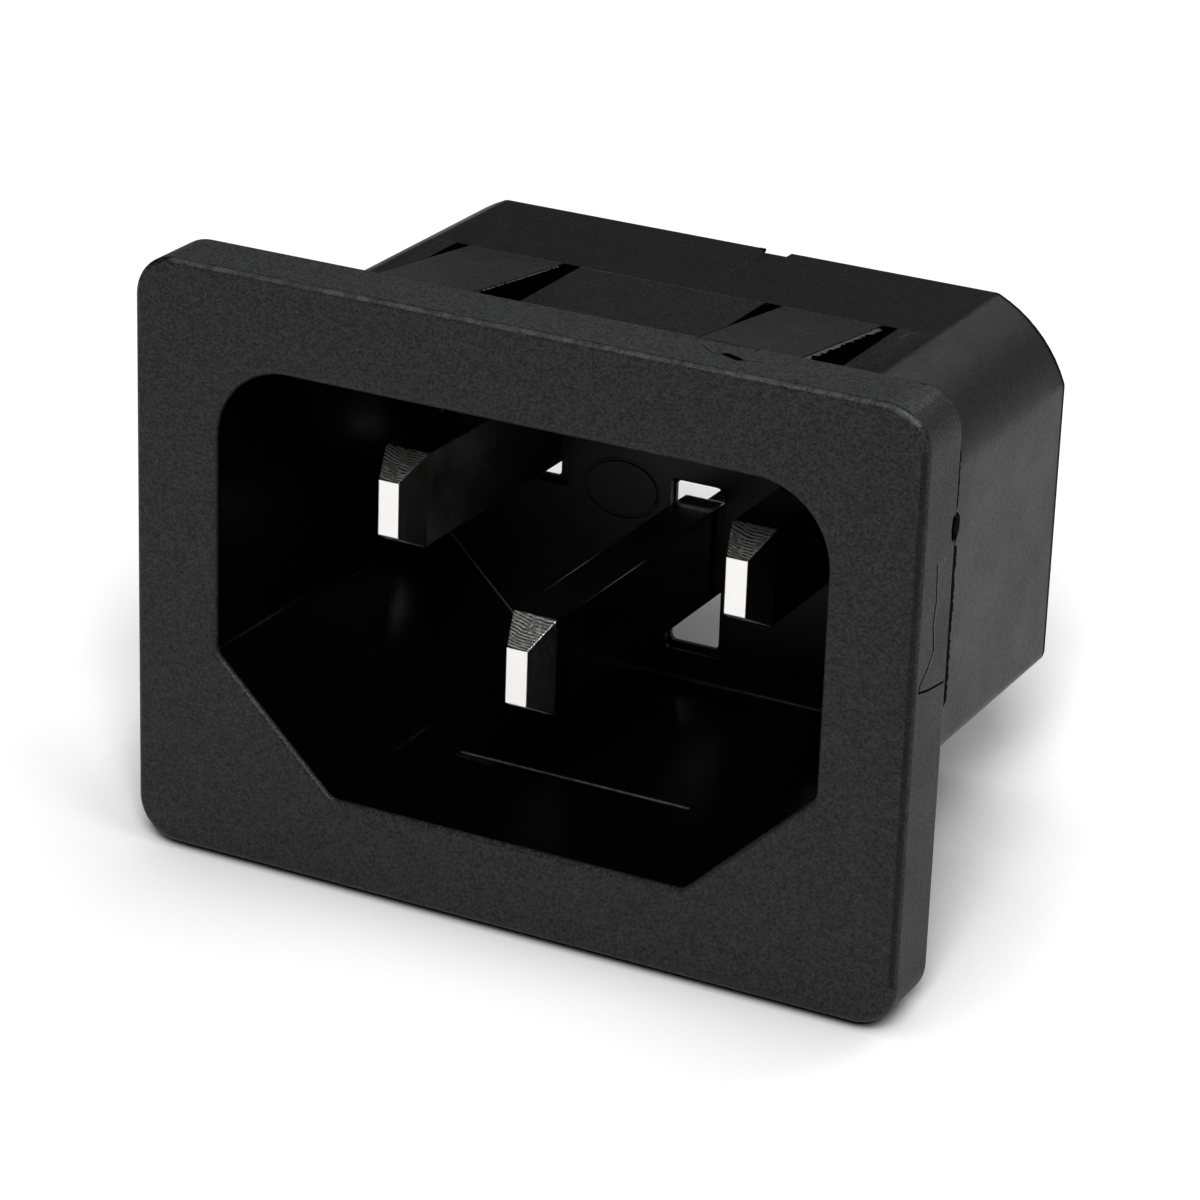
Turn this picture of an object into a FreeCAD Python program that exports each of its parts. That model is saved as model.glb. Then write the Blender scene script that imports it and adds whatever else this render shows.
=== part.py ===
import FreeCAD, Part
import math
import os
import Sketcher

# Snap-in C14 appliance inlet. Millimetres. +X is to the right seen from the front,
# the front looks along -Y, +Z is up, and y = 0 is the rear face of the flange,
# which is the face that lies against the panel.

os.makedirs("parts", exist_ok=True)
doc = FreeCAD.newDocument("Inlet")

DRIVING = [
    ("flange_width", 30.9),
    ("flange_height", 22.8),
    ("flange_thickness", 2.6),
    ("flange_corner_round", 1.6),
    ("flange_edge_round", 0.22),
    ("body_half_width", 13.28),
    ("body_half_height", 9.65),
    ("body_depth", 15.0),
    ("body_chamfer_level", 4.1),
    ("body_chamfer_run", 5.55),
    ("body_bend_round", 0.6),
    ("left_shoulder_start", 10.0),
    ("left_shoulder_end", 6.3),
    ("left_shoulder_radius", 6.0),
    ("right_shoulder_start", 10.45),
    ("right_shoulder_end", 6.65),
    ("right_shoulder_radius", 5.2),
    ("shoulder_blend", 0.5),
    ("cavity_half_width", 12.06),
    ("cavity_roof", 7.88),
    ("cavity_floor", 8.02),
    ("cavity_depth", 15.35),
    ("cavity_draft_angle", 2.3),
    ("cavity_chamfer_level", 3.31),
    ("cavity_chamfer_run", 4.93),
    ("cavity_corner_round", 2.9),
    ("cavity_bend_round", 0.6),
    ("mouth_edge_round", 0.18),
    ("pin_pitch", 14.0),
    ("pin_thickness", 1.78),
    ("pin_tall", 3.68),
    ("pin_edge_round", 0.1),
    ("row_shift", 0.1),
    ("pin_row_level", 2.14),
    ("earth_drop", 3.94),
    ("pin_tip_setback", 1.21),
    ("earth_tip_lead", 1.73),
    ("pin_nose_length", 1.32),
    ("pin_nose_width", 0.82),
    ("pin_nose_tall", 2.13),
    ("pin_nose_drop", 0.08),
    ("wing_tall", 2.0),
    ("wing_thickness", 0.7),
    ("tab_thickness", 0.8),
    ("neck_tall", 2.8),
    ("neck_end", 16.2),
    ("tab_tall", 4.8),
    ("tab_end", 23.0),
    ("tab_hole_radius", 0.8),
    ("tab_hole_from_end", 2.4),
    ("tab_nose_chamfer", 0.9),
    ("window_left", 1.24),
    ("window_right", 0.83),
    ("window_corner_round", 0.25),
    ("window_top_corner_round", 0.4),
    ("window_short_gap", 0.53),
    ("window_long_gap", 2.38),
    ("window_small_gap", 0.63),
    ("window_lip", 0.2),
    ("recess_depth", 0.35),
    ("recess_left", 1.3),
    ("recess_right", 1.32),
    ("recess_margin", 0.2),
    ("rear_pocket_half_width", 2.35),
    ("rear_pocket_margin", 1.1),
    ("finger_inner", 4.42),
    ("finger_outer", 8.44),
    ("inner_slot_width", 0.61),
    ("outer_slot_width", 0.48),
    ("finger_root", 9.25),
    ("finger_tip", 2.05),
    ("finger_rise", 0.86),
    ("finger_tip_slot", 0.95),
    ("catch_half_width", 4.78),
    ("catch_shift", 0.22),
    ("catch_face", 3.3),
    ("catch_slot", 0.34),
    ("catch_drop", 0.7),
    ("catch_end", 9.25),
    ("cavity_back_round", 0.15),
    ("gate_notch_from", 1.0),
    ("gate_notch_width", 1.1),
    ("gate_notch_height", 0.16),
    ("gate_notch_length", 0.5),
    ("mark_centre_x", 3.47),
    ("mark_centre_z", 0.12),
    ("mark_half_width", 1.62),
    ("mark_half_height", 1.2),
    ("mark_line", 0.12),
    ("mark_depth", 0.06),
]

sheet = doc.addObject("Spreadsheet::Sheet", "dims")
for row, (alias, number) in enumerate(DRIVING, start=1):
    sheet.set("A%d" % row, alias)
    sheet.set("B%d" % row, str(number))
    sheet.setAlias("B%d" % row, alias)
doc.recompute()


class Dim:
    """A length that keeps both its number and the sheet expression behind it."""

    def __init__(self, value, text):
        self.value = value
        self.text = text

    def __neg__(self):
        return Dim(-self.value, "-(" + self.text + ")")

    def __add__(self, other):
        return Dim(self.value + other.value, "(" + self.text + " + " + other.text + ")")

    def __sub__(self, other):
        return Dim(self.value - other.value, "(" + self.text + " - " + other.text + ")")

    def half(self):
        return Dim(self.value / 2, "(" + self.text + ") / 2")


D = {}
for alias, number in DRIVING:
    D[alias] = Dim(number, "dims." + alias)
NOTHING = Dim(0.0, "0")

flange_half_width = D["flange_width"].half()
flange_half_height = D["flange_height"].half()
pin_half_tall = D["pin_tall"].half()
row_level = D["pin_row_level"]
earth_level = row_level - D["earth_drop"]
wall_front = D["cavity_depth"] - D["flange_thickness"]
pin_back_end = wall_front + D["recess_depth"]
lip_back = pin_back_end + D["window_lip"]


def make_body(label):
    body = doc.addObject("PartDesign::Body", label)
    body.Label = label
    return body


def make_sketch(body, name, role, offset=NOTHING):
    sketch = body.newObject("Sketcher::SketchObject", name)
    for plane in body.Origin.OriginFeatures:
        if plane.Role == role:
            sketch.AttachmentSupport = [(plane, "")]
    sketch.MapMode = "FlatFace"
    sketch.AttachmentOffset = FreeCAD.Placement(
        FreeCAD.Vector(0, 0, offset.value), FreeCAD.Rotation())
    if offset is not NOTHING:
        sketch.setExpression("AttachmentOffset.Base.z", offset.text)
    return sketch


def hold(sketch, kind, index, place, dim):
    if abs(dim.value) < 1e-9:
        axis = -2 if kind == "DistanceX" else -1
        sketch.addConstraint(Sketcher.Constraint("PointOnObject", index, place, axis))
        return
    number = sketch.addConstraint(
        Sketcher.Constraint(kind, -1, 1, index, place, dim.value))
    sketch.setExpression("Constraints[%d]" % number, dim.text)


def outward_arc(start, end, radius):
    chord = end - start
    inward = FreeCAD.Vector(-chord.y, chord.x, 0).normalize()
    reach = math.sqrt(radius ** 2 - (chord.Length / 2) ** 2)
    centre = (start + end) * 0.5 + inward * reach
    angles = [math.atan2(point.y - centre.y, point.x - centre.x) for point in (start, end)]
    circle = Part.Circle(centre, FreeCAD.Vector(0, 0, 1), radius)
    return Part.ArcOfCircle(circle, angles[0], angles[1])


def add_outline(sketch, corners, arcs=None):
    """Corners run anticlockwise; arcs gives the radius of a side that bows outward."""
    arcs = arcs or {}
    first = sketch.GeometryCount
    count = len(corners)
    for i in range(count):
        here, there = [FreeCAD.Vector(corner[0].value, corner[1].value, 0)
                       for corner in (corners[i], corners[(i + 1) % count])]
        if i in arcs:
            sketch.addGeometry(outward_arc(here, there, arcs[i].value), False)
        else:
            sketch.addGeometry(Part.LineSegment(here, there), False)
    for i in arcs:
        number = sketch.addConstraint(
            Sketcher.Constraint("Radius", first + i, arcs[i].value))
        sketch.setExpression("Constraints[%d]" % number, arcs[i].text)
    for i in range(count):
        sketch.addConstraint(Sketcher.Constraint(
            "Coincident", first + i, 2, first + (i + 1) % count, 1))
    for i in range(count):
        hold(sketch, "DistanceX", first + i, 1, corners[i][0])
        hold(sketch, "DistanceY", first + i, 1, corners[i][1])


def add_rectangle(sketch, left, right, low, high):
    add_outline(sketch, [(left, low), (right, low), (right, high), (left, high)])


def add_circle(sketch, across, up, radius):
    index = sketch.addGeometry(Part.Circle(
        FreeCAD.Vector(across.value, up.value, 0), FreeCAD.Vector(0, 0, 1), radius.value), False)
    number = sketch.addConstraint(Sketcher.Constraint("Radius", index, radius.value))
    sketch.setExpression("Constraints[%d]" % number, radius.text)
    hold(sketch, "DistanceX", index, 3, across)
    hold(sketch, "DistanceY", index, 3, up)


def make_feature(body, kind, name, sketch, length, reverse=False, taper=None):
    feature = body.newObject("PartDesign::" + kind, name)
    feature.Profile = sketch
    feature.Length = length.value
    feature.setExpression("Length", length.text)
    feature.Reversed = reverse
    if taper is not None:
        feature.TaperAngle = -taper.value
        feature.setExpression("TaperAngle", "-" + taper.text)
    doc.recompute()
    return feature


def find_edges(feature, test):
    names = []
    for number, edge in enumerate(feature.Shape.Edges, start=1):
        if test(edge.BoundBox, edge):
            names.append("Edge%d" % number)
    return names


def round_edges(body, name, feature, test, radius, expected):
    names = find_edges(feature, test)
    if len(names) != expected:
        raise ValueError("%s meets %d edges, not %d" % (name, len(names), expected))
    fillet = body.newObject("PartDesign::Fillet", name)
    fillet.Base = (feature, names)
    fillet.Radius = radius.value
    fillet.setExpression("Radius", radius.text)
    doc.recompute()
    return fillet


def mirror_feature(body, name, originals):
    mirrored = body.newObject("PartDesign::Mirrored", name)
    mirrored.Originals = originals
    for plane in body.Origin.OriginFeatures:
        if plane.Role == "YZ_Plane":
            mirrored.MirrorPlane = (plane, [""])
    body.Tip = mirrored
    doc.recompute()
    return mirrored


def near(number, target, slack=0.02):
    return abs(number - target) < slack


# The housing is one moulding: flange, body, cavity, latches and contact windows.
housing = make_body("housing")

sketch = make_sketch(housing, "body_outline", "XZ_Plane")
chamfer_foot = D["body_half_width"] - D["body_chamfer_run"]
add_outline(sketch, [
    (-D["left_shoulder_start"], D["body_half_height"]),
    (-D["body_half_width"], D["left_shoulder_end"]),
    (-D["body_half_width"], -D["body_chamfer_level"]),
    (-chamfer_foot, -D["body_half_height"]),
    (chamfer_foot, -D["body_half_height"]),
    (D["body_half_width"], -D["body_chamfer_level"]),
    (D["body_half_width"], D["right_shoulder_end"]),
    (D["right_shoulder_start"], D["body_half_height"]),
], {0: D["left_shoulder_radius"], 6: D["right_shoulder_radius"]})
block = make_feature(housing, "Pad", "body_block", sketch, D["body_depth"], reverse=True)


def along_depth(box):
    return box.YLength > 10 and box.XLength < 0.01 and box.ZLength < 0.01


block = round_edges(
    housing, "shoulder_blends", block,
    lambda box, edge: along_depth(box) and box.ZMin > 5,
    D["shoulder_blend"], 4)
block = round_edges(
    housing, "lower_bends", block,
    lambda box, edge: along_depth(box) and box.ZMin < 0 and (
        near(box.ZMin, -D["body_chamfer_level"].value)
        or near(box.ZMin, -D["body_half_height"].value)),
    D["body_bend_round"], 4)

sketch = make_sketch(housing, "flange_outline", "XZ_Plane")
add_rectangle(sketch, -flange_half_width, flange_half_width,
              -flange_half_height, flange_half_height)
flange = make_feature(housing, "Pad", "flange", sketch, D["flange_thickness"])
flange_x = flange_half_width.value
flange = round_edges(
    housing, "flange_corners", flange,
    lambda box, edge: near(abs(box.XMin), flange_x) and box.XLength < 0.01
    and box.ZLength < 0.01 and near(box.YLength, D["flange_thickness"].value),
    D["flange_corner_round"], 4)
front_y = -D["flange_thickness"].value
flange = round_edges(
    housing, "flange_front_edge", flange,
    lambda box, edge: near(box.YMin, front_y) and box.YLength < 0.01,
    D["flange_edge_round"], 8)

# The cavity narrows evenly toward its back wall, as the mould's draft leaves it.
sketch = make_sketch(housing, "cavity_outline", "XZ_Plane", D["flange_thickness"])
cavity_foot = D["cavity_half_width"] - D["cavity_chamfer_run"]
add_outline(sketch, [
    (-D["cavity_half_width"], D["cavity_roof"]),
    (-D["cavity_half_width"], -D["cavity_chamfer_level"]),
    (-cavity_foot, -D["cavity_floor"]),
    (cavity_foot, -D["cavity_floor"]),
    (D["cavity_half_width"], -D["cavity_chamfer_level"]),
    (D["cavity_half_width"], D["cavity_roof"]),
])
cavity = make_feature(housing, "Pocket", "cavity", sketch, D["cavity_depth"],
                      taper=D["cavity_draft_angle"])


def cavity_line(box, edge):
    inside = abs(box.XMin) < 12.2 and box.ZMax < 8.0 and box.ZMin > -8.2
    return inside and near(box.YLength, D["cavity_depth"].value, 0.1)


cavity = round_edges(
    housing, "cavity_shoulders", cavity,
    lambda box, edge: cavity_line(box, edge) and box.ZMin > 5,
    D["cavity_corner_round"], 2)
cavity = round_edges(
    housing, "cavity_bends", cavity,
    lambda box, edge: cavity_line(box, edge) and box.ZMax < 0,
    D["cavity_bend_round"], 4)
cavity = round_edges(
    housing, "mouth_edge", cavity,
    lambda box, edge: near(box.YMin, front_y) and box.YLength < 0.01
    and abs(box.XMin) < 12.2 and abs(box.XMax) < 12.2,
    D["mouth_edge_round"], 12)
cavity = round_edges(
    housing, "cavity_back_edge", cavity,
    lambda box, edge: near(box.YMin, wall_front.value) and box.YLength < 0.01
    and abs(box.XMin) < 12.2 and abs(box.XMax) < 12.2,
    D["cavity_back_round"], 12)


# Two snap fingers on top. Each is a strip of the roof, free at its front end,
# that climbs toward the flange.
def cut_rectangles(name, role, offset, rectangles, depth, reverse=False):
    sketch = make_sketch(housing, name + "_outline", role, offset)
    for left, right, low, high in rectangles:
        add_rectangle(sketch, left, right, low, high)
    return make_feature(housing, "Pocket", name, sketch, depth, reverse=reverse)


slot_inside = D["finger_inner"] - D["inner_slot_width"]
slot_outside = D["finger_outer"] + D["outer_slot_width"]
finger_middle = (D["finger_tip"] - D["finger_tip_slot"])
sketch = make_sketch(housing, "finger_slot_outline", "XY_Plane", D["body_half_height"])
add_outline(sketch, [
    (slot_inside, finger_middle),
    (slot_outside, finger_middle),
    (slot_outside, D["finger_root"]),
    (D["finger_outer"], D["finger_root"]),
    (D["finger_outer"], D["finger_tip"]),
    (D["finger_inner"], D["finger_tip"]),
    (D["finger_inner"], D["finger_root"]),
    (slot_inside, D["finger_root"]),
])
roof_cut = D["body_half_height"] - D["cavity_roof"] + D["flange_edge_round"] + D["body_bend_round"]
finger_slot = make_feature(housing, "Pocket", "finger_slot", sketch, roof_cut)

sketch = make_sketch(housing, "finger_ramp_outline", "YZ_Plane", D["finger_inner"])
roof_middle = D["body_half_height"] - D["finger_rise"]
add_outline(sketch, [
    (D["finger_tip"], roof_middle),
    (D["finger_root"], roof_middle),
    (D["finger_root"], D["body_half_height"]),
    (D["finger_tip"], D["body_half_height"] + D["finger_rise"]),
])
finger_ramp = make_feature(housing, "Pad", "finger_ramp", sketch,
                           D["finger_outer"] - D["finger_inner"])
mirror_feature(housing, "second_finger", [finger_slot, finger_ramp])

# One broad catch under the floor: a wedge that climbs toward the flange, with
# the narrow slot through the wall that shapes its steep face.
catch_left = -D["catch_half_width"] - D["catch_shift"]
catch_right = D["catch_half_width"] - D["catch_shift"]
sketch = make_sketch(housing, "catch_slot_outline", "XY_Plane", -D["body_half_height"])
add_rectangle(sketch, catch_left, catch_right,
              D["catch_face"] - D["catch_slot"], D["catch_face"])
make_feature(housing, "Pocket", "catch_slot", sketch, roof_cut, reverse=True)

sketch = make_sketch(housing, "catch_wedge_outline", "YZ_Plane", catch_left)
add_outline(sketch, [
    (D["catch_face"], -roof_middle),
    (D["catch_end"], -roof_middle),
    (D["catch_end"], -D["body_half_height"]),
    (D["catch_face"], -(D["body_half_height"] + D["catch_drop"])),
])
make_feature(housing, "Pad", "catch_wedge", sketch, catch_right - catch_left)


# Each contact passes through a window in the back wall with gaps above and below.
# The window's right side has a step, on which the pin's shoulder rests from the front,
# and a wider pocket behind the window takes the contact's wings.
pitch_half = D["pin_pitch"].half()
line_across = -pitch_half - D["row_shift"]
neutral_across = pitch_half - D["row_shift"]
earth_across = -D["row_shift"]
windows = [
    (line_across, row_level, D["window_small_gap"]),
    (neutral_across, row_level, D["window_small_gap"]),
    (earth_across, earth_level, D["window_long_gap"]),
]


def window_frame(window, left, right, margin):
    centre, level, below = window
    low = level - pin_half_tall - below - margin
    high = level + pin_half_tall + D["window_short_gap"] + margin
    return centre - left, centre + right, low, high


pocket_half = D["rear_pocket_half_width"]
cut_rectangles(
    "rear_pockets", "XZ_Plane", -D["body_depth"],
    [window_frame(window, pocket_half, pocket_half, D["rear_pocket_margin"])
     for window in windows],
    D["body_depth"] - lip_back, reverse=True)
overcut = D["flange_edge_round"]
recess_cut = cut_rectangles(
    "contact_recesses", "XZ_Plane", -wall_front + overcut,
    [window_frame(window, D["recess_left"], D["recess_right"], D["recess_margin"]) for window in windows],
    overcut + D["recess_depth"])


def upright_edges(length):
    return lambda box, edge: (near(box.YLength, length.value, 0.01)
                              and box.XLength < 0.01 and box.ZLength < 0.01)


round_edges(housing, "recess_corners", recess_cut, upright_edges(D["recess_depth"]),
            D["window_corner_round"], 12)
window_frames = [window_frame(window, D["window_left"], D["window_right"], NOTHING)
                 for window in windows]
window_cut = cut_rectangles(
    "contact_windows", "XZ_Plane", -wall_front + overcut, window_frames,
    overcut + D["recess_depth"] + D["window_lip"] + overcut)
is_lip_edge = upright_edges(D["window_lip"])
upper_right = [(right.value, high.value) for _, right, _, high in window_frames]


def at_upper_right(box):
    return any(near(box.XMin, x, 0.01) and near(box.ZMin, z, 0.01) for x, z in upper_right)


window_corners = round_edges(
    housing, "window_corners", window_cut,
    lambda box, edge: is_lip_edge(box, edge) and not at_upper_right(box),
    D["window_corner_round"], 9)
round_edges(housing, "window_upper_right_corners", window_corners,
            lambda box, edge: is_lip_edge(box, edge) and at_upper_right(box),
            D["window_top_corner_round"], 3)

# A shallow gate notch in the rear top edge and a plain oval line in the back wall.
gate_right = D["gate_notch_from"] + D["gate_notch_width"]
cut_rectangles(
    "gate_notch", "XZ_Plane", -D["body_depth"],
    [(D["gate_notch_from"], gate_right,
      D["body_half_height"] - D["gate_notch_height"], D["body_half_height"])],
    D["gate_notch_length"], reverse=True)

sketch = make_sketch(housing, "oval_line_outline", "XZ_Plane", -wall_front)
for grow in (0.0, D["mark_line"].value):
    sketch.addGeometry(Part.Ellipse(
        FreeCAD.Vector(-D["mark_centre_x"].value, -D["mark_centre_z"].value, 0),
        D["mark_half_width"].value - grow, D["mark_half_height"].value - grow), False)
    sketch.addConstraint(Sketcher.Constraint("Block", sketch.GeometryCount - 1))
make_feature(housing, "Pocket", "oval_line", sketch, D["mark_depth"])


# Three blade contacts, each one stamping: bevelled pin, wings, neck and tab.
def make_contact(label, across, level, tip):
    body = make_body(label)
    half_pin = D["pin_thickness"].half()
    nose_end = tip + D["pin_nose_length"]

    tip_sketch = make_sketch(body, label + "_tip", "XZ_Plane", -tip)
    half_nose_width = D["pin_nose_width"].half()
    half_nose_tall = D["pin_nose_tall"].half()
    add_rectangle(tip_sketch, -half_nose_width, half_nose_width,
                  -half_nose_tall - D["pin_nose_drop"], half_nose_tall - D["pin_nose_drop"])
    full_sketch = make_sketch(body, label + "_section", "XZ_Plane", -nose_end)
    add_rectangle(full_sketch, -half_pin, half_pin, -pin_half_tall, pin_half_tall)
    nose = body.newObject("PartDesign::AdditiveLoft", label + "_nose")
    nose.Profile = tip_sketch
    nose.Sections = [full_sketch]
    nose.Ruled = True
    doc.recompute()

    shank_sketch = make_sketch(body, label + "_shank_outline", "XZ_Plane", -nose_end)
    add_rectangle(shank_sketch, -half_pin, half_pin, -pin_half_tall, pin_half_tall)
    shank = make_feature(body, "Pad", label + "_shank", shank_sketch,
                         pin_back_end - nose_end, reverse=True)
    shank = round_edges(
        body, label + "_long_edges", shank,
        lambda box, edge: box.YLength > 5 and box.XLength < 0.01 and box.ZLength < 0.01,
        D["pin_edge_round"], 4)

    steps = [
        ("_neck", pin_back_end, D["neck_end"] - pin_back_end,
         D["tab_thickness"].half(), D["neck_tall"].half()),
        ("_wings", lip_back, D["wing_thickness"],
         D["rear_pocket_half_width"], D["wing_tall"].half()),
        ("_tab", D["neck_end"], D["tab_end"] - D["neck_end"],
         D["tab_thickness"].half(), D["tab_tall"].half()),
    ]
    for suffix, start, length, half_across, half_up in steps:
        sketch = make_sketch(body, label + suffix + "_outline", "XZ_Plane", -start)
        add_rectangle(sketch, -half_across, half_across, -half_up, half_up)
        tab = make_feature(body, "Pad", label + suffix, sketch, length, reverse=True)

    sketch = make_sketch(body, label + "_hole_outline", "YZ_Plane")
    add_circle(sketch, D["tab_end"] - D["tab_hole_from_end"], NOTHING, D["tab_hole_radius"])
    hole = make_feature(body, "Pocket", label + "_hole", sketch, D["pin_thickness"])
    hole.Midplane = True
    doc.recompute()
    names = find_edges(hole, lambda box, edge: near(box.YMin, D["tab_end"].value)
                       and box.ZLength < 0.01 and near(box.XLength, D["tab_thickness"].value))
    chamfer = body.newObject("PartDesign::Chamfer", label + "_tab_nose")
    chamfer.Base = (hole, names)
    chamfer.Size = D["tab_nose_chamfer"].value
    chamfer.setExpression("Size", "dims.tab_nose_chamfer")
    body.Placement = FreeCAD.Placement(
        FreeCAD.Vector(across.value, 0, level.value), FreeCAD.Rotation())
    body.setExpression("Placement.Base.x", across.text)
    body.setExpression("Placement.Base.z", level.text)
    doc.recompute()
    return body


contacts = [
    make_contact("line_contact", line_across, row_level, D["pin_tip_setback"]),
    make_contact("neutral_contact", neutral_across, row_level, D["pin_tip_setback"]),
    make_contact("earth_contact", earth_across, earth_level, -D["earth_tip_lead"]),
]

doc.recompute()
for item in doc.Objects:
    if "Invalid" in item.State or "Error" in item.State:
        raise RuntimeError(item.Name + " did not recompute")

for body in [housing] + contacts:
    shape = body.Shape
    if shape.isNull() or not shape.isValid() or len(shape.Solids) != 1:
        raise RuntimeError(body.Label + " is not one sound solid")
    shape.exportStep("parts/" + body.Label + ".step")
    print(body.Label, "volume", round(shape.Volume, 2), "mm3, box", shape.BoundBox)
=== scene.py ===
import math
import random

import bpy
from mathutils import Euler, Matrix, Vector


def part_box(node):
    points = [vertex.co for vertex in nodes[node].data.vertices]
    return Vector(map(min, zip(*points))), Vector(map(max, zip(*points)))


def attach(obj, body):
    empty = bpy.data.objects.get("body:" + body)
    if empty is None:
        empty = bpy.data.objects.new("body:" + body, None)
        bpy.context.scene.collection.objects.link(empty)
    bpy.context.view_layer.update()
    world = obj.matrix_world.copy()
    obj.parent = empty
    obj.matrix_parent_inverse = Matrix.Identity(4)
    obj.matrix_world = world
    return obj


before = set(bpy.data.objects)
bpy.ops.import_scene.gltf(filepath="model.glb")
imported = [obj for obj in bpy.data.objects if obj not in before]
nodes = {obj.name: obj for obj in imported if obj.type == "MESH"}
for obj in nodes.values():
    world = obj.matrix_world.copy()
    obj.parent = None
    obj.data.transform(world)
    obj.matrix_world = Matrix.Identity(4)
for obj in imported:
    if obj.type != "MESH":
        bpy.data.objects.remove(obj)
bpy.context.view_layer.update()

mm = 0.001
print("frame loaded:", len(nodes), "nodes")


# One node material, built with short calls. A mask is a value from nought to one,
# and the edges of the masks are given in millimetres.
class Shader:
    def __init__(self, name):
        self.material = bpy.data.materials.new(name)
        self.material.use_nodes = True
        self.tree = self.material.node_tree
        self.tree.nodes.clear()
        self.output = self.tree.nodes.new("ShaderNodeOutputMaterial")
        self.surface = self.tree.nodes.new("ShaderNodeBsdfPrincipled")
        self.link(self.surface.outputs["BSDF"], self.output.inputs["Surface"])

    def add(self, kind, **settings):
        node = self.tree.nodes.new("ShaderNode" + kind)
        for name, value in settings.items():
            if name in node.inputs:
                node.inputs[name].default_value = value
            else:
                setattr(node, name, value)
        return node

    def link(self, source, target):
        self.tree.links.new(source, target)

    # A number is set on the socket, and an output is linked to it.
    def feed(self, value, socket):
        if isinstance(value, (int, float)):
            socket.default_value = value
        else:
            self.link(value, socket)

    def noise(self, place, scale, detail=2.0, rough=0.5):
        node = self.add("TexNoise", Scale=scale, Detail=detail, Roughness=rough)
        self.link(place, node.inputs["Vector"])
        return node.outputs["Fac"]

    # Runs from low to high while the source runs from start to end.
    def ramp(self, source, low, high, start=0.0, end=1.0):
        node = self.add("MapRange")
        self.link(source, node.inputs["Value"])
        node.inputs["From Min"].default_value = start
        node.inputs["From Max"].default_value = end
        node.inputs["To Min"].default_value = low
        node.inputs["To Max"].default_value = high
        return node.outputs["Result"]

    def math(self, operation, first, second):
        node = self.add("Math", operation=operation)
        self.feed(first, node.inputs[0])
        self.feed(second, node.inputs[1])
        return node.outputs["Value"]

    def axes(self, place):
        split = self.add("SeparateXYZ")
        self.link(place, split.inputs["Vector"])
        return split.outputs["X"], split.outputs["Y"], split.outputs["Z"]

    def above(self, value, edge, blend=0.03):
        return self.ramp(value, 0.0, 1.0, (edge - blend) * mm, (edge + blend) * mm)

    def within(self, value, low, high, blend=0.03):
        return self.all(self.above(value, low, blend), self.no(self.above(value, high, blend)))

    def no(self, mask):
        return self.math("SUBTRACT", 1.0, mask)

    def all(self, *masks):
        result = masks[0]
        for mask in masks[1:]:
            result = self.math("MULTIPLY", result, mask)
        return result

    def any(self, *masks):
        result = masks[0]
        for mask in masks[1:]:
            result = self.math("MAXIMUM", result, mask)
        return result

    # The first value where the mask is nought, and the second where it is one.
    def blend(self, mask, first, second):
        node = self.add("Mix", data_type="FLOAT")
        self.link(mask, node.inputs["Factor"])
        self.feed(first, node.inputs[2])
        self.feed(second, node.inputs[3])
        return node.outputs[0]

    # Hides the shine under a mask with a second, shineless black surface.
    def darken(self, mask):
        dull = self.add("BsdfPrincipled")
        dull.inputs["Base Color"].default_value = (0.0006, 0.0006, 0.0006, 1.0)
        dull.inputs["Roughness"].default_value = 0.95
        dull.inputs["Specular IOR Level"].default_value = 0.0
        mix = self.add("MixShader")
        self.link(mask, mix.inputs["Fac"])
        self.link(self.surface.outputs["BSDF"], mix.inputs[1])
        self.link(dull.outputs["BSDF"], mix.inputs[2])
        self.link(mix.outputs["Shader"], self.output.inputs["Surface"])

    # A mask along a line through the points, which are in millimetres.
    def stroke(self, place, points, width):
        nearest = None
        for start, end in zip(points, points[1:]):
            first = Vector(start) * mm
            reach = Vector(end) * mm - first
            offset = self.add("VectorMath", operation="SUBTRACT")
            self.link(place, offset.inputs[0])
            offset.inputs[1].default_value = first
            share = self.add("VectorMath", operation="DOT_PRODUCT")
            self.link(offset.outputs["Vector"], share.inputs[0])
            share.inputs[1].default_value = reach / reach.length_squared
            part = self.add("Clamp")
            self.link(share.outputs["Value"], part.inputs["Value"])
            along = self.add("VectorMath", operation="SCALE")
            along.inputs[0].default_value = reach
            self.link(part.outputs["Result"], along.inputs["Scale"])
            gap = self.add("VectorMath", operation="DISTANCE")
            self.link(offset.outputs["Vector"], gap.inputs[0])
            self.link(along.outputs["Vector"], gap.inputs[1])
            gap = gap.outputs["Value"]
            nearest = gap if nearest is None else self.math("MINIMUM", nearest, gap)
        return self.ramp(nearest, 1.0, 0.0, width * 0.3 * mm, width * 0.6 * mm)

    # Edges that look a little rounded.
    def rounded(self, radius):
        return self.add("Bevel", samples=4, Radius=radius).outputs["Normal"]

    def bump(self, height, normal):
        node = self.add("Bump", Strength=1.0, Distance=1.0)
        self.link(height, node.inputs["Height"])
        self.link(normal, node.inputs["Normal"])
        self.link(node.outputs["Normal"], self.surface.inputs["Normal"])


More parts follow.
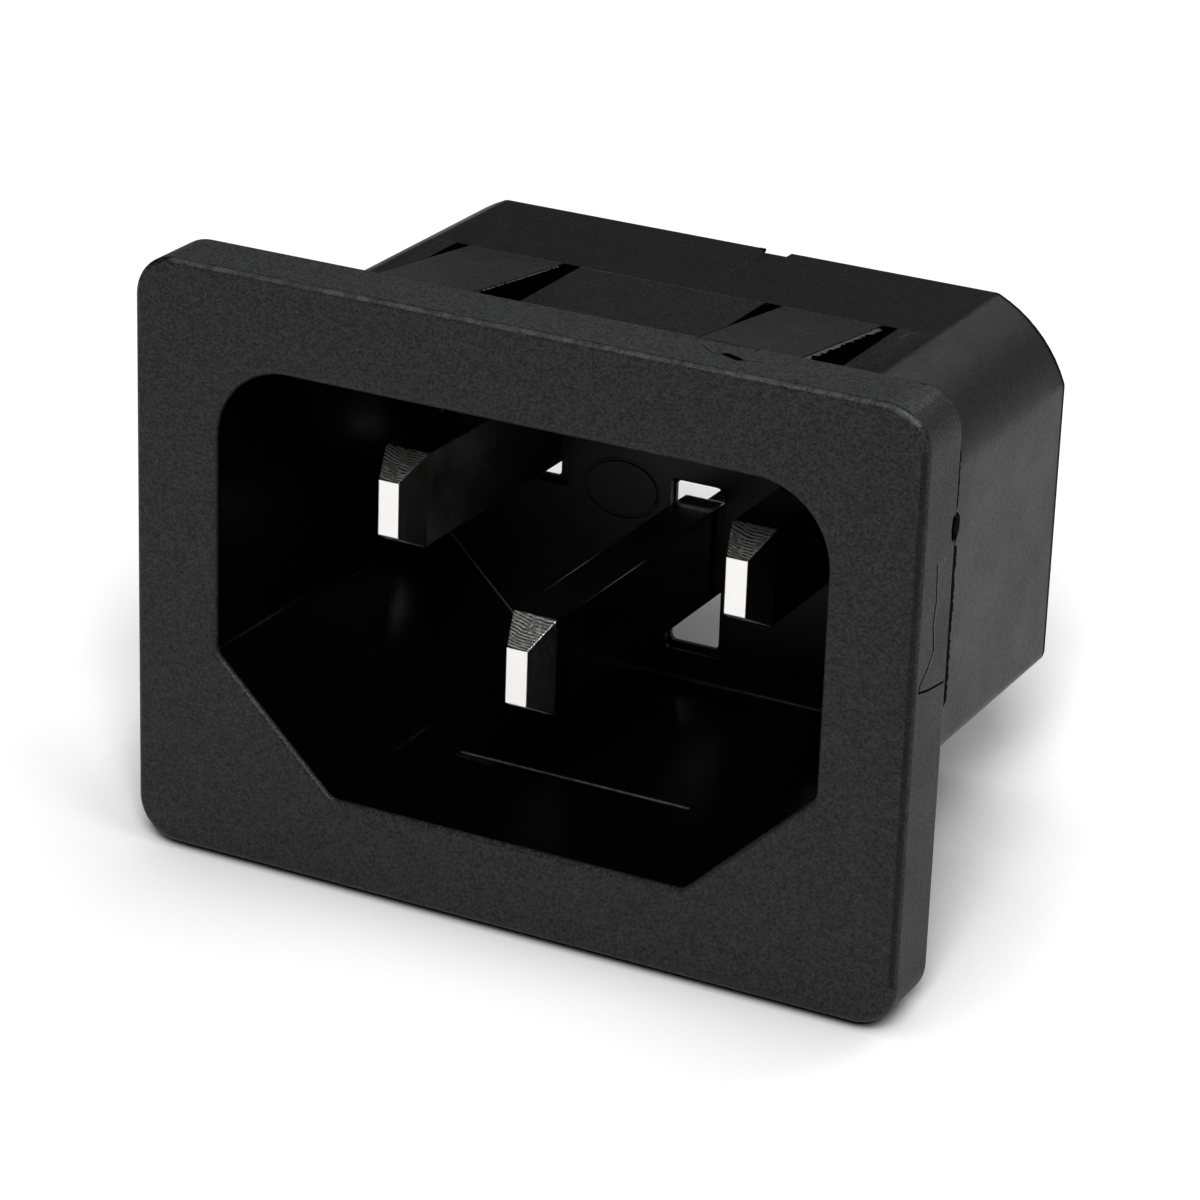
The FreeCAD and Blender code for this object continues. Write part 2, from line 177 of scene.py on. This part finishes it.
# The housing is one black moulding. Each zone was polished or etched in its own way, in its
# roughness and grain. Its shade is partly painted light: the flange top and the roofs are painted
# lighter as the light falls on them, and the side, cavity and back wall are painted darker as
# painted shade.
plasticLook = {
    "tint": (1.0, 1.01, 1.05),
    # Base shade of each zone: painted light on the flange top and roofs, painted shade on the
    # side, cavity and back wall.
    "shade": {"front": 0.0086, "flange side": 0.0070, "flange top": 0.0290, "roof": 0.0110,
              "rear roof": 0.0110, "side": 0.0040, "cavity": 0.0005, "back wall": 0.0012},
    "contrast": {"front": 0.55, "flange side": 0.60, "flange top": 0.30, "roof": 0.40,
                 "rear roof": 0.25, "side": 0.30, "cavity": 0.2, "back wall": 0.9},
    "roughness": {"front": 0.44, "flange side": 0.55, "flange top": 0.60, "roof": 0.52,
                  "rear roof": 0.36, "side": 0.46, "cavity": 0.22, "back wall": 0.40},
    "grain": {"front": 0.012 * mm, "flange side": 0.010 * mm, "flange top": 0.014 * mm,
              "roof": 0.014 * mm, "rear roof": 0.006 * mm, "side": 0.004 * mm,
              "cavity": 0.002 * mm},
    "wormScale": 3500.0,
    "wormTurns": 32.0,
    "wormHeight": 0.35,
    "wormShade": 0.6,
    "fineScale": 9000.0,
    "fineShade": 1.2,
    "patchScale": 420.0,
    "patchSwing": 0.04,
    "grainDepth": 0.17,
    "cavityPaintedShade": 0.45,
    "edgeRadius": 0.07 * mm,
    "shoulderRadius": 1.1 * mm,
    "indexOfRefraction": 1.32,
}

# Where the zones begin and end, in millimetres.
housingPlaces = {
    "flangeSide": -2.50,
    "flangeTop": {"depth": -2.40, "level": 11.15},
    "roof": {"level": 9.05, "halfWidth": 10.3, "blend": 0.9},
    "fingerRoot": 9.25,
    "fingerSlots": ((8.38, 9.0), (3.75, 4.48)),
    "slotDepth": (1.0, 9.3),
    "slotLevel": 7.0,
    "cavityDepth": (-2.42, 15.45),
    "cavityHalfWidth": 12.45,
    "cavityHeight": (-8.45, 8.25),
    "cavityUpperCorner": 19.3,
    "cavityLowerCorner": 16.3,
    "backWall": 12.5,
    "shoulderDepth": (1.3, 13.8),
    "shoulderHeight": (3.9, 7.6),
    "shoulderHalfWidth": 12.7,
    "shoulderBlend": 0.2,
}

# Places and widths are in millimetres. A mark with light is a pale line of that shade,
# and one with depth is a dark line that hides that share of the shine.
mouldMarks = {
    "scar": {"points": [(15.45, -1.30, 5.6), (15.45, -1.22, 4.2), (15.45, -1.36, 3.4),
                        (15.45, -1.16, 2.48), (15.45, -1.55, 2.0), (15.45, -2.15, 1.55),
                        (15.45, -2.25, 1.30), (15.45, -1.5, 1.12), (15.45, -0.14, 0.94)],
             "width": 0.10, "depth": 1.0},
    # Painted shade: a dark band down the flange's front right edge.
    "front right edge shade": {"points": [(15.28, -2.6, 9.9), (15.28, -2.6, -9.6)],
                         "width": 0.26, "depth": 0.45},
    "nick": {"points": [(7.22, -1.08, 11.4), (7.80, -1.32, 11.4)], "width": 0.34, "depth": 1.0},
    "nick crack": {"points": [(6.2, -0.75, 11.4), (6.75, -1.2, 11.4), (7.22, -1.06, 11.4),
                              (7.78, -1.38, 11.4), (8.6, -1.15, 11.4)],
                   "width": 0.05, "depth": 1.0},
    "corner dot": {"points": [(14.0, -0.14, 11.4), (14.1, -0.12, 11.4)],
                   "width": 0.12, "depth": 1.0},
    # Painted shadow in the gap between the flange's rear edge and the finger.
    "rear edge gap shadow": {"points": [(5.6, -0.05, 11.4), (8.0, -0.05, 11.4)],
                      "width": 0.06, "depth": 1.0},
    "finger root line": {"points": [(-10.0, 9.27, 9.65), (10.1, 9.20, 9.65)],
                         "width": 0.08, "light": 0.03},
    # Painted highlight: a pale arc where a rounded corner on the roof catches the light.
    "tool arc": {"points": [(9.5, 8.4, 9.65), (9.55, 9.1, 9.65), (10.2, 9.0, 9.65)],
                 "width": 0.10, "light": 0.035},
    "top ridge": {"points": [(1.15, 14.8, 9.65), (1.05, 9.4, 9.65)], "width": 0.10, "light": 0.02},
    # Painted highlight along the flange's rounded front top edge.
    "front top edge": {"points": [(-13.9, -2.55, 11.36), (13.9, -2.55, 11.36),
                                  (15.0, -2.55, 10.9)], "width": 0.24, "light": 0.05},
    # Painted highlight along the flange's rear top and right edges.
    "rear top edge": {"points": [(-14.2, -0.04, 11.4), (14.0, -0.04, 11.4), (15.0, -0.04, 10.9),
                                 (15.42, -0.04, 9.8), (15.42, -0.04, 7.4)],
                      "width": 0.08, "light": 0.04},
    # Painted shade: a dark line along the body's rear right edge and shoulder.
    "rear right edge shade": {"points": [(13.30, 15.0, -4.2), (13.30, 15.0, 6.65), (12.82, 15.0, 7.62),
                                   (12.19, 15.0, 8.45), (11.40, 15.0, 9.12), (10.45, 15.0, 9.65)],
                        "width": 0.42, "depth": 0.85},
    "scar lip": {"points": [(15.45, -1.20, 5.6), (15.45, -1.12, 4.2), (15.45, -1.26, 3.4),
                            (15.45, -1.06, 2.48), (15.45, -1.42, 2.0), (15.45, -2.02, 1.60)],
                 "width": 0.07, "light": 0.06},
    "blob shadow": {"points": [(15.45, -0.10, 6.2), (15.45, -0.16, 6.5), (15.45, -0.10, 6.85)],
                    "width": 0.34, "depth": 1.0},
    # Painted highlight on the rounded edge of a step in the cavity floor.
    "cavity floor step": {"points": [(-5.15, 3.3, -7.88), (4.75, 3.3, -7.88)],
                          "width": 0.09, "light": 0.12},
    "cavity floor scrape": {"points": [(-4.9, 2.9, -7.84), (-3.6, 2.8, -7.84)],
                            "width": 0.35, "light": 0.012},
}


def makeHousingMasks(shader, place, at):
    x, y, z = shader.axes(place)
    away = shader.math("ABSOLUTE", x, 0.0)
    behind = shader.above(y, 0.0)
    slots = shader.any(*[shader.within(away, *slot) for slot in at["fingerSlots"]])
    fingerSides = shader.all(slots, shader.within(y, *at["slotDepth"]),
                             shader.above(z, at["slotLevel"]))
    upperCorner = shader.above(shader.math("ADD", away, z), at["cavityUpperCorner"])
    lowerCorner = shader.above(shader.math("SUBTRACT", away, z), at["cavityLowerCorner"])
    inCavity = shader.all(shader.within(y, *at["cavityDepth"]),
                          shader.no(shader.above(away, at["cavityHalfWidth"])),
                          shader.within(z, *at["cavityHeight"]),
                          shader.no(upperCorner), shader.no(lowerCorner))
    roof = at["roof"]
    onRoof = shader.all(shader.above(z, roof["level"]),
                        shader.no(shader.above(away, roof["halfWidth"], roof["blend"])))
    blend = at["shoulderBlend"]
    shoulder = shader.all(shader.within(y, *at["shoulderDepth"], blend),
                          shader.within(z, *at["shoulderHeight"], blend),
                          shader.above(away, at["shoulderHalfWidth"]))
    # A later zone lies over the earlier ones.
    zones = {
        "flange side": shader.above(y, at["flangeSide"]),
        "flange top": shader.all(shader.above(y, at["flangeTop"]["depth"]),
                                 shader.above(z, at["flangeTop"]["level"])),
        "side": behind,
        "roof": shader.all(behind, onRoof),
        "rear roof": shader.all(shader.above(y, at["fingerRoot"]), onRoof),
        "cavity": shader.any(inCavity, fingerSides),
        "back wall": shader.all(inCavity, shader.above(y, at["backWall"])),
    }
    return zones, inCavity, fingerSides, shoulder


def makePlastic(look, places, marks):
    shader = Shader("black grained plastic")
    place = shader.add("TexCoord").outputs["Object"]
    zones, inCavity, fingerSides, shoulder = makeHousingMasks(shader, place, places)

    def zoned(values):
        result = values["front"]
        for zone, mask in zones.items():
            if zone in values:
                result = shader.blend(mask, result, values[zone])
        return result

    # Contour lines of a soft noise run like the etched worms of the mould.
    worm = shader.noise(place, look["wormScale"], 2.5, 0.55)
    worm = shader.math("SINE", shader.math("MULTIPLY", worm, look["wormTurns"]), 0.0)
    fine = shader.noise(place, look["fineScale"], 2.0, 0.6)
    height = shader.math("ADD", fine, shader.math("MULTIPLY", worm, look["wormHeight"]))
    height = shader.math("MULTIPLY", height, zoned(look["grain"]))

    # The shoulder runs into the side without a visible edge.
    normal = shader.add("Mix", data_type="VECTOR")
    shader.link(shoulder, normal.inputs["Factor"])
    shader.link(shader.rounded(look["edgeRadius"]), normal.inputs[4])
    shader.link(shader.rounded(look["shoulderRadius"]), normal.inputs[5])
    shader.bump(height, normal.outputs[1])

    patch = shader.noise(place, look["patchScale"], 3.0, 0.55)
    patch = shader.ramp(patch, -look["patchSwing"], look["patchSwing"], 0.3, 0.7)
    rough = shader.math("ADD", zoned(look["roughness"]), patch)
    shader.link(rough, shader.surface.inputs["Roughness"])

    fineSwing = shader.ramp(fine, -look["fineShade"], look["fineShade"], 0.32, 0.68)
    swing = shader.math("ADD", shader.math("MULTIPLY", worm, look["wormShade"]), fineSwing)
    swing = shader.math("MULTIPLY", swing, zoned(look["contrast"]))
    shade = shader.math("MULTIPLY", zoned(look["shade"]), shader.math("ADD", swing, 1.0))

    # Painted shade: the cavity is painted duller than the outside, and the slot walls beside the
    # fingers are painted black, where shade falls in the recesses.
    dull = shader.any(shader.math("MULTIPLY", inCavity, look["cavityPaintedShade"]), fingerSides)
    dull = shader.all(dull, shader.no(zones["back wall"]))
    pits = shader.ramp(shader.math("ADD", worm, shader.ramp(fine, -1.5, 1.5, 0.3, 0.7)),
                       look["grainDepth"], 0.0, -1.6, 1.6)
    dull = shader.any(dull, shader.all(pits, shader.no(inCavity)))

    breaks = shader.ramp(shader.noise(place, 2600.0, 2.0, 0.6), 0.45, 1.0, 0.40, 0.60)
    for mark in marks.values():
        line = shader.stroke(place, mark["points"], mark["width"])
        if "light" in mark:
            shade = shader.blend(shader.all(line, breaks), shade, mark["light"])
        else:
            dull = shader.any(dull, shader.math("MULTIPLY", line, mark["depth"]))

    color = shader.add("CombineColor")
    for socket, tint in zip(color.inputs, look["tint"]):
        shader.link(shader.math("MULTIPLY", shade, tint), socket)
    shader.link(color.outputs["Color"], shader.surface.inputs["Base Color"])
    shader.surface.inputs["IOR"].default_value = look["indexOfRefraction"]
    shader.darken(dull)
    return shader.material


# The three contacts are stamped and plated. Their noses are scratched in arcs.
platingLook = {
    "color": (0.78, 0.775, 0.755),
    "roughness": 0.16,
    "sideRoughness": {"line_contact": 0.36, "neutral_contact": 0.15, "earth_contact": 0.15},
    # Painted shade: each contact's sides get their own darkness, which dims their reflections.
    "paintedSideShade": {"line_contact": 0.18, "neutral_contact": 0.35, "earth_contact": 0.45},
    "noseRoughness": (0.22, 0.47),
    "noseSideRoughness": (0.12, 0.24),
    "arcSpacing": 0.11 * mm,
    "arcDepth": 0.0016 * mm,
    "arcCentre": (0.5, 5.0, 1.6),
    "arcWander": 11.0,
    "drawLinesPerMetre": 9000.0,
    "drawDepth": 0.0012 * mm,
    "edgeRadius": 0.055 * mm,
}

# A pin's nose, measured from its tip and its middle in millimetres. The nose's flanks
# widen with the slope, and the pin's sides lie past sideFrom.
pinShape = {"noseStart": 0.04, "noseEnd": 1.34, "tipHalfWidth": 0.395, "slope": 0.364,
            "sideFrom": 0.86}


def makeArcs(shader, look, place, centre):
    spread = shader.add("VectorMath", operation="DISTANCE")
    shader.link(place, spread.inputs[0])
    spread.inputs[1].default_value = centre
    wander = shader.math("MULTIPLY", shader.noise(place, 1400.0), look["arcWander"])
    turn = 2 * math.pi / look["arcSpacing"]
    turn = shader.math("MULTIPLY", spread.outputs["Value"], turn)
    arcs = shader.math("SINE", shader.math("ADD", turn, wander), 0.0)
    fade = shader.ramp(shader.noise(place, 2200.0), 0.2, 1.7, 0.35, 0.65)
    specks = shader.ramp(shader.noise(place, 7000.0, 3.0, 0.7), 0.0, 1.2, 0.52, 0.66)
    return shader.math("ADD", shader.math("MULTIPLY", arcs, fade), specks)


def makePlating(look, shape, nodeName):
    shader = Shader("bright nickel plating of the " + nodeName.replace("_", " "))
    place = shader.add("TexCoord").outputs["Object"]
    x, y, z = shader.axes(place)
    low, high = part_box(nodeName)
    centreX = (low.x + high.x) / 2
    tip = Vector((centreX, low.y, (low.z + high.z) / 2))

    fromTip = shader.math("SUBTRACT", y, tip.y)
    offAxis = shader.math("ABSOLUTE", shader.math("SUBTRACT", x, centreX), 0.0)
    nose = shader.within(fromTip, shape["noseStart"], shape["noseEnd"], 0.01)
    flank = shader.math("MULTIPLY", fromTip, shape["slope"])
    flank = shader.math("ADD", flank, shape["tipHalfWidth"] * mm)
    onFlank = shader.above(shader.math("SUBTRACT", offAxis, flank), 0.0, 0.008)
    onSide = shader.all(shader.above(offAxis, shape["sideFrom"], 0.01), shader.no(nose))

    arcs = makeArcs(shader, look, place, tip + Vector(look["arcCentre"]) * mm)
    scratched = shader.blend(onFlank, shader.ramp(arcs, *look["noseRoughness"], -1.0, 1.2),
                             shader.ramp(arcs, *look["noseSideRoughness"], -1.0, 1.2))
    bare = shader.blend(onSide, look["roughness"], look["sideRoughness"][nodeName])
    shader.link(shader.blend(nose, bare, scratched), shader.surface.inputs["Roughness"])

    # Fine lines along the pin, left by drawing the strip.
    stretch = shader.add("Mapping", Scale=(1.0, 0.04, 1.0))
    shader.link(place, stretch.inputs["Vector"])
    lines = shader.noise(stretch.outputs["Vector"], look["drawLinesPerMetre"])
    height = shader.math("ADD", shader.math("MULTIPLY", lines, look["drawDepth"]),
                         shader.all(nose, arcs, look["arcDepth"]))
    shader.bump(height, shader.rounded(look["edgeRadius"]))

    # The sides are mottled at random and painted darker by each contact's own side shade.
    cloudsAndSideShade = shader.ramp(shader.noise(place, 900.0, 3.0, 0.6), 0.6, 1.4, 0.3, 0.7)
    cloudsAndSideShade = shader.math("MULTIPLY", cloudsAndSideShade, look["paintedSideShade"][nodeName])
    color = shader.add("VectorMath", operation="SCALE")
    color.inputs[0].default_value = look["color"]
    shader.link(shader.blend(onSide, 1.0, cloudsAndSideShade), color.inputs["Scale"])
    shader.link(color.outputs["Vector"], shader.surface.inputs["Base Color"])
    shader.surface.inputs["Metallic"].default_value = 1.0
    return shader.material


def dress(nodeName, material):
    piece = nodes[nodeName]
    piece.data.materials.clear()
    piece.data.materials.append(material)


dress("housing", makePlastic(plasticLook, housingPlaces, mouldMarks))
for contactName in ("line_contact", "neutral_contact", "earth_contact"):
    dress(contactName, makePlating(platingLook, pinShape, contactName))
print("materials set")


def makeFlat(name, shade, roughness, shine):
    shader = Shader(name)
    place = shader.add("TexCoord").outputs["Object"]
    speckle = shader.ramp(shader.noise(place, 6000.0, 2.0, 0.6), 0.4, 1.6, 0.3, 0.7)
    color = shader.add("CombineColor")
    for socket in color.inputs:
        shader.link(shader.math("MULTIPLY", speckle, shade), socket)
    shader.link(color.outputs["Color"], shader.surface.inputs["Base Color"])
    shader.surface.inputs["Roughness"].default_value = roughness
    shader.surface.inputs["Specular IOR Level"].default_value = shine
    return shader.material


def makePiece(name, points, faces, material):
    mesh = bpy.data.meshes.new(name)
    mesh.from_pydata([Vector(point) * mm for point in points], [], faces)
    mesh.update()
    mesh.materials.append(material)
    piece = bpy.data.objects.new(name, mesh)
    bpy.context.scene.collection.objects.link(piece)
    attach(piece, "root")


# Pale flash plastic, which also paints a highlight along the fingers' edges.
flashAndHighlightPlastic = makeFlat("pale torn plastic", 0.055, 0.6, 0.4)
# Black shineless plastic for the nubs, and as painted shadow in the gap behind the flange.
nubAndShadowPlastic = makeFlat("dark nub plastic and painted gap shadow", 0.0004, 0.9, 0.03)

# Thin strips with a ragged free side, in millimetres. Pale flash stands in the slots beside the
# snap fingers, and its paleness also paints the highlight along the fingers' edges. A ragged strip
# of flash behind the flange's right edge is black and shineless, as painted shadow in the gap
# there.
flash = {"side": (1, 0, 0), "down": (0, 0, -1), "reach": 0.10, "raggedness": 0.75,
         "thickness": 0.03, "steps": 90, "material": flashAndHighlightPlastic}
# Painted shadow: ragged flash behind the flange's right edge, black and shineless where the gap
# lies in shade.
flashShadowStrip = {"side": (0, 1, 0), "down": (-1, 0, 0), "raggedness": 0.4,
           "thickness": 0.04, "steps": 120, "material": nubAndShadowPlastic}
thinStrips = {
    "rightFingerFlash": dict(flash, start=(8.40, 2.15, 10.49), end=(8.40, 8.9, 9.69),
                             reachRange=(0.03, 0.30), seed=4),
    "leftFingerFlash": dict(flash, start=(-4.46, 2.15, 10.49), end=(-4.46, 8.9, 9.69),
                            reachRange=(0.02, 0.14), seed=7),
    "flangeRearFlashShadow": dict(flashShadowStrip, start=(15.44, -0.03, -0.1), end=(15.44, -0.03, 5.95),
                          reach=0.35, reachRange=(0.18, 0.50), seed=9),
    "flangeRearFlashShadowTop": dict(flashShadowStrip, start=(15.44, -0.03, 7.1), end=(15.44, -0.03, 9.3),
                             reach=0.15, reachRange=(0.10, 0.26), seed=3),
}


def makeStrip(name, look):
    random.seed(look["seed"])
    start, end, side, down = [Vector(look[key]) for key in ("start", "end", "side", "down")]
    steps = look["steps"]
    reach = look["reach"]
    thick = down * look["thickness"]
    points, faces = [], []
    for step in range(steps + 1):
        share = step / steps
        target = random.uniform(*look["reachRange"])
        reach = reach + (target - reach) * look["raggedness"]
        fade = min(1.0, 30 * share, 30 * (1 - share))  # the strip runs out at both ends
        foot = start.lerp(end, share)
        free = foot + side * reach * fade
        points += [foot, free, free + thick, foot + thick]
    for step in range(steps):
        here, there = 4 * step, 4 * step + 4
        for turn in range(4):
            after = (turn + 1) % 4
            faces.append((here + turn, here + after, there + after, there + turn))
    faces += [(3, 2, 1, 0), tuple(4 * steps + turn for turn in range(4))]
    makePiece(name, points, faces, look["material"])


for stripName, stripLook in thinStrips.items():
    makeStrip(stripName, stripLook)

# Small flat blobs, in millimetres: one bridges the flange's rear edge, and one lies in the
# notch at the rear of the roof.
blobs = {
    "flangeRearBlob": {"centre": (15.43, 0.14, 6.5), "halfWidth": 0.28, "halfHeight": 0.58,
                       "thickness": 0.10, "bulge": 0.12, "corners": 18},
    "rearNotchNub": {"centre": (1.06, 14.90, 9.62), "halfWidth": 0.09, "halfHeight": 0.08,
                     "thickness": 0.22, "bulge": 0.12, "corners": 18},
}


def makeBlob(name, look):
    corners = look["corners"]
    middle = Vector(look["centre"])
    points, faces = [], []
    for layer in (0, 1):
        for turn in range(corners):
            angle = 2 * math.pi * turn / corners
            swell = 1 + look["bulge"] * math.sin(3 * angle + 1)
            points.append(middle + Vector((-layer * look["thickness"],
                                           look["halfWidth"] * swell * math.cos(angle),
                                           look["halfHeight"] * swell * math.sin(angle))))
    for turn in range(corners):
        after = (turn + 1) % corners
        faces.append((turn, after, corners + after, corners + turn))
    faces += [tuple(reversed(range(corners))), tuple(range(corners, 2 * corners))]
    makePiece(name, points, faces, nubAndShadowPlastic)


for blobName, blobLook in blobs.items():
    makeBlob(blobName, blobLook)
print("small pieces made")

floorLook = {
    "size": 1.2,
    "color": (0.80, 0.80, 0.80, 1.0),
    "seenColor": (1.02, 1.02, 1.02, 1.0),
    "roughness": 0.9,
    "paintedShadowReach": 10 * mm,
    "paintedShadowDepth": 0.8,
    "bodyLow": -9.65 * mm,
}


def makeFloorMaterial(look):
    shader = Shader("pale floor")
    shader.surface.inputs["Roughness"].default_value = look["roughness"]
    shader.surface.inputs["Specular IOR Level"].default_value = 0.0
    path = shader.add("LightPath").outputs
    mirrored = shader.any(path["Is Glossy Ray"], path["Is Transmission Ray"])
    seen = shader.any(path["Is Camera Ray"], mirrored)
    shade = shader.add("Mix", data_type="RGBA")
    shader.link(seen, shade.inputs["Factor"])
    shade.inputs[6].default_value = look["color"]
    shade.inputs[7].default_value = look["seenColor"]
    # Painted contact shadow: the floor's colour is a little darker where it meets the inlet.
    contact = shader.add("AmbientOcclusion", samples=8, Distance=look["paintedShadowReach"])
    depth = shader.math("POWER", contact.outputs["AO"], look["paintedShadowDepth"])
    darkened = shader.add("VectorMath", operation="SCALE")
    shader.link(shade.outputs[2], darkened.inputs[0])
    shader.link(depth, darkened.inputs["Scale"])
    shader.link(darkened.outputs["Vector"], shader.surface.inputs["Base Color"])
    return shader.material


# The inlet leans on the flange's lower rear edge and the body's lower rear edge.
def makeFloor(look):
    low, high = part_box("housing")
    half = look["size"] / 2
    corners = [(-half, -half, 0), (half, -half, 0), (half, half, 0), (-half, half, 0)]
    mesh = bpy.data.meshes.new("studio floor")
    mesh.from_pydata(corners, [], [(0, 1, 2, 3)])
    mesh.materials.append(makeFloorMaterial(look))
    floor = bpy.data.objects.new("studio floor", mesh)
    bpy.context.scene.collection.objects.link(floor)
    floor.rotation_euler = (math.atan2(look["bodyLow"] - low.z, high.y), 0, 0)
    floor.location = (0, 0, low.z)


makeFloor(floorLook)

# Each lamp shines at the middle of the panel face.
lamps = {
    "key": {"place": (0.244, -0.549, 0.601), "size": (0.4, 0.4), "power": 8.9},
    "right fill": {"place": (0.592, -0.104, 0.601), "size": (0.4, 0.4), "power": 1.6},
    "back right": {"place": (0.326, 0.564, 0.546), "size": (0.3, 0.2), "power": 1.3},
    "back strip": {"place": (0.08, 0.66, 0.46), "size": (0.3, 0.16), "power": 0.39},
}


def makeLamp(name, facts):
    lamp = bpy.data.lights.new(name, "AREA")
    lamp.shape = "RECTANGLE"
    lamp.size, lamp.size_y = facts["size"]
    lamp.energy = facts["power"]
    holder = bpy.data.objects.new(name, lamp)
    bpy.context.scene.collection.objects.link(holder)
    holder.location = facts["place"]
    holder.rotation_euler = (-holder.location).to_track_quat("-Z", "Y").to_euler()


for lampName, lampFacts in lamps.items():
    makeLamp(lampName, lampFacts)


# The backdrop is white to the camera alone and lights nothing.
def makeBackdrop():
    world = bpy.data.worlds.new("studio")
    bpy.context.scene.world = world
    world.use_nodes = True
    tree = world.node_tree
    tree.nodes.clear()
    output = tree.nodes.new("ShaderNodeOutputWorld")
    mix = tree.nodes.new("ShaderNodeMixShader")
    path = tree.nodes.new("ShaderNodeLightPath")
    tree.links.new(path.outputs["Is Camera Ray"], mix.inputs["Fac"])
    for socket, strength in ((mix.inputs[1], 0.0), (mix.inputs[2], 1.0)):
        backdrop = tree.nodes.new("ShaderNodeBackground")
        backdrop.inputs["Color"].default_value = (1.0, 1.0, 1.0, 1.0)
        backdrop.inputs["Strength"].default_value = strength
        tree.links.new(backdrop.outputs["Background"], socket)
    tree.links.new(mix.outputs["Shader"], output.inputs["Surface"])


makeBackdrop()
print("light and floor set")

cameraLook = {
    "lens": 133.897,
    "sensorWidth": 36.0,
    "place": (67.946 * mm, -129.378 * mm, 60.791 * mm),
    "turnDegrees": (67.58906, -1.85834, 27.69312),
    "clip": (0.01, 10.0),
}


def makeCamera(look):
    data = bpy.data.cameras.new("camera")
    data.sensor_width = look["sensorWidth"]
    data.lens = look["lens"]
    data.clip_start, data.clip_end = look["clip"]
    camera = bpy.data.objects.new("camera", data)
    bpy.context.scene.collection.objects.link(camera)
    camera.location = look["place"]
    camera.rotation_euler = Euler([math.radians(turn) for turn in look["turnDegrees"]], "XYZ")
    bpy.context.scene.camera = camera


makeCamera(cameraLook)
bpy.context.scene.view_settings.view_transform = "Standard"
print("camera set")
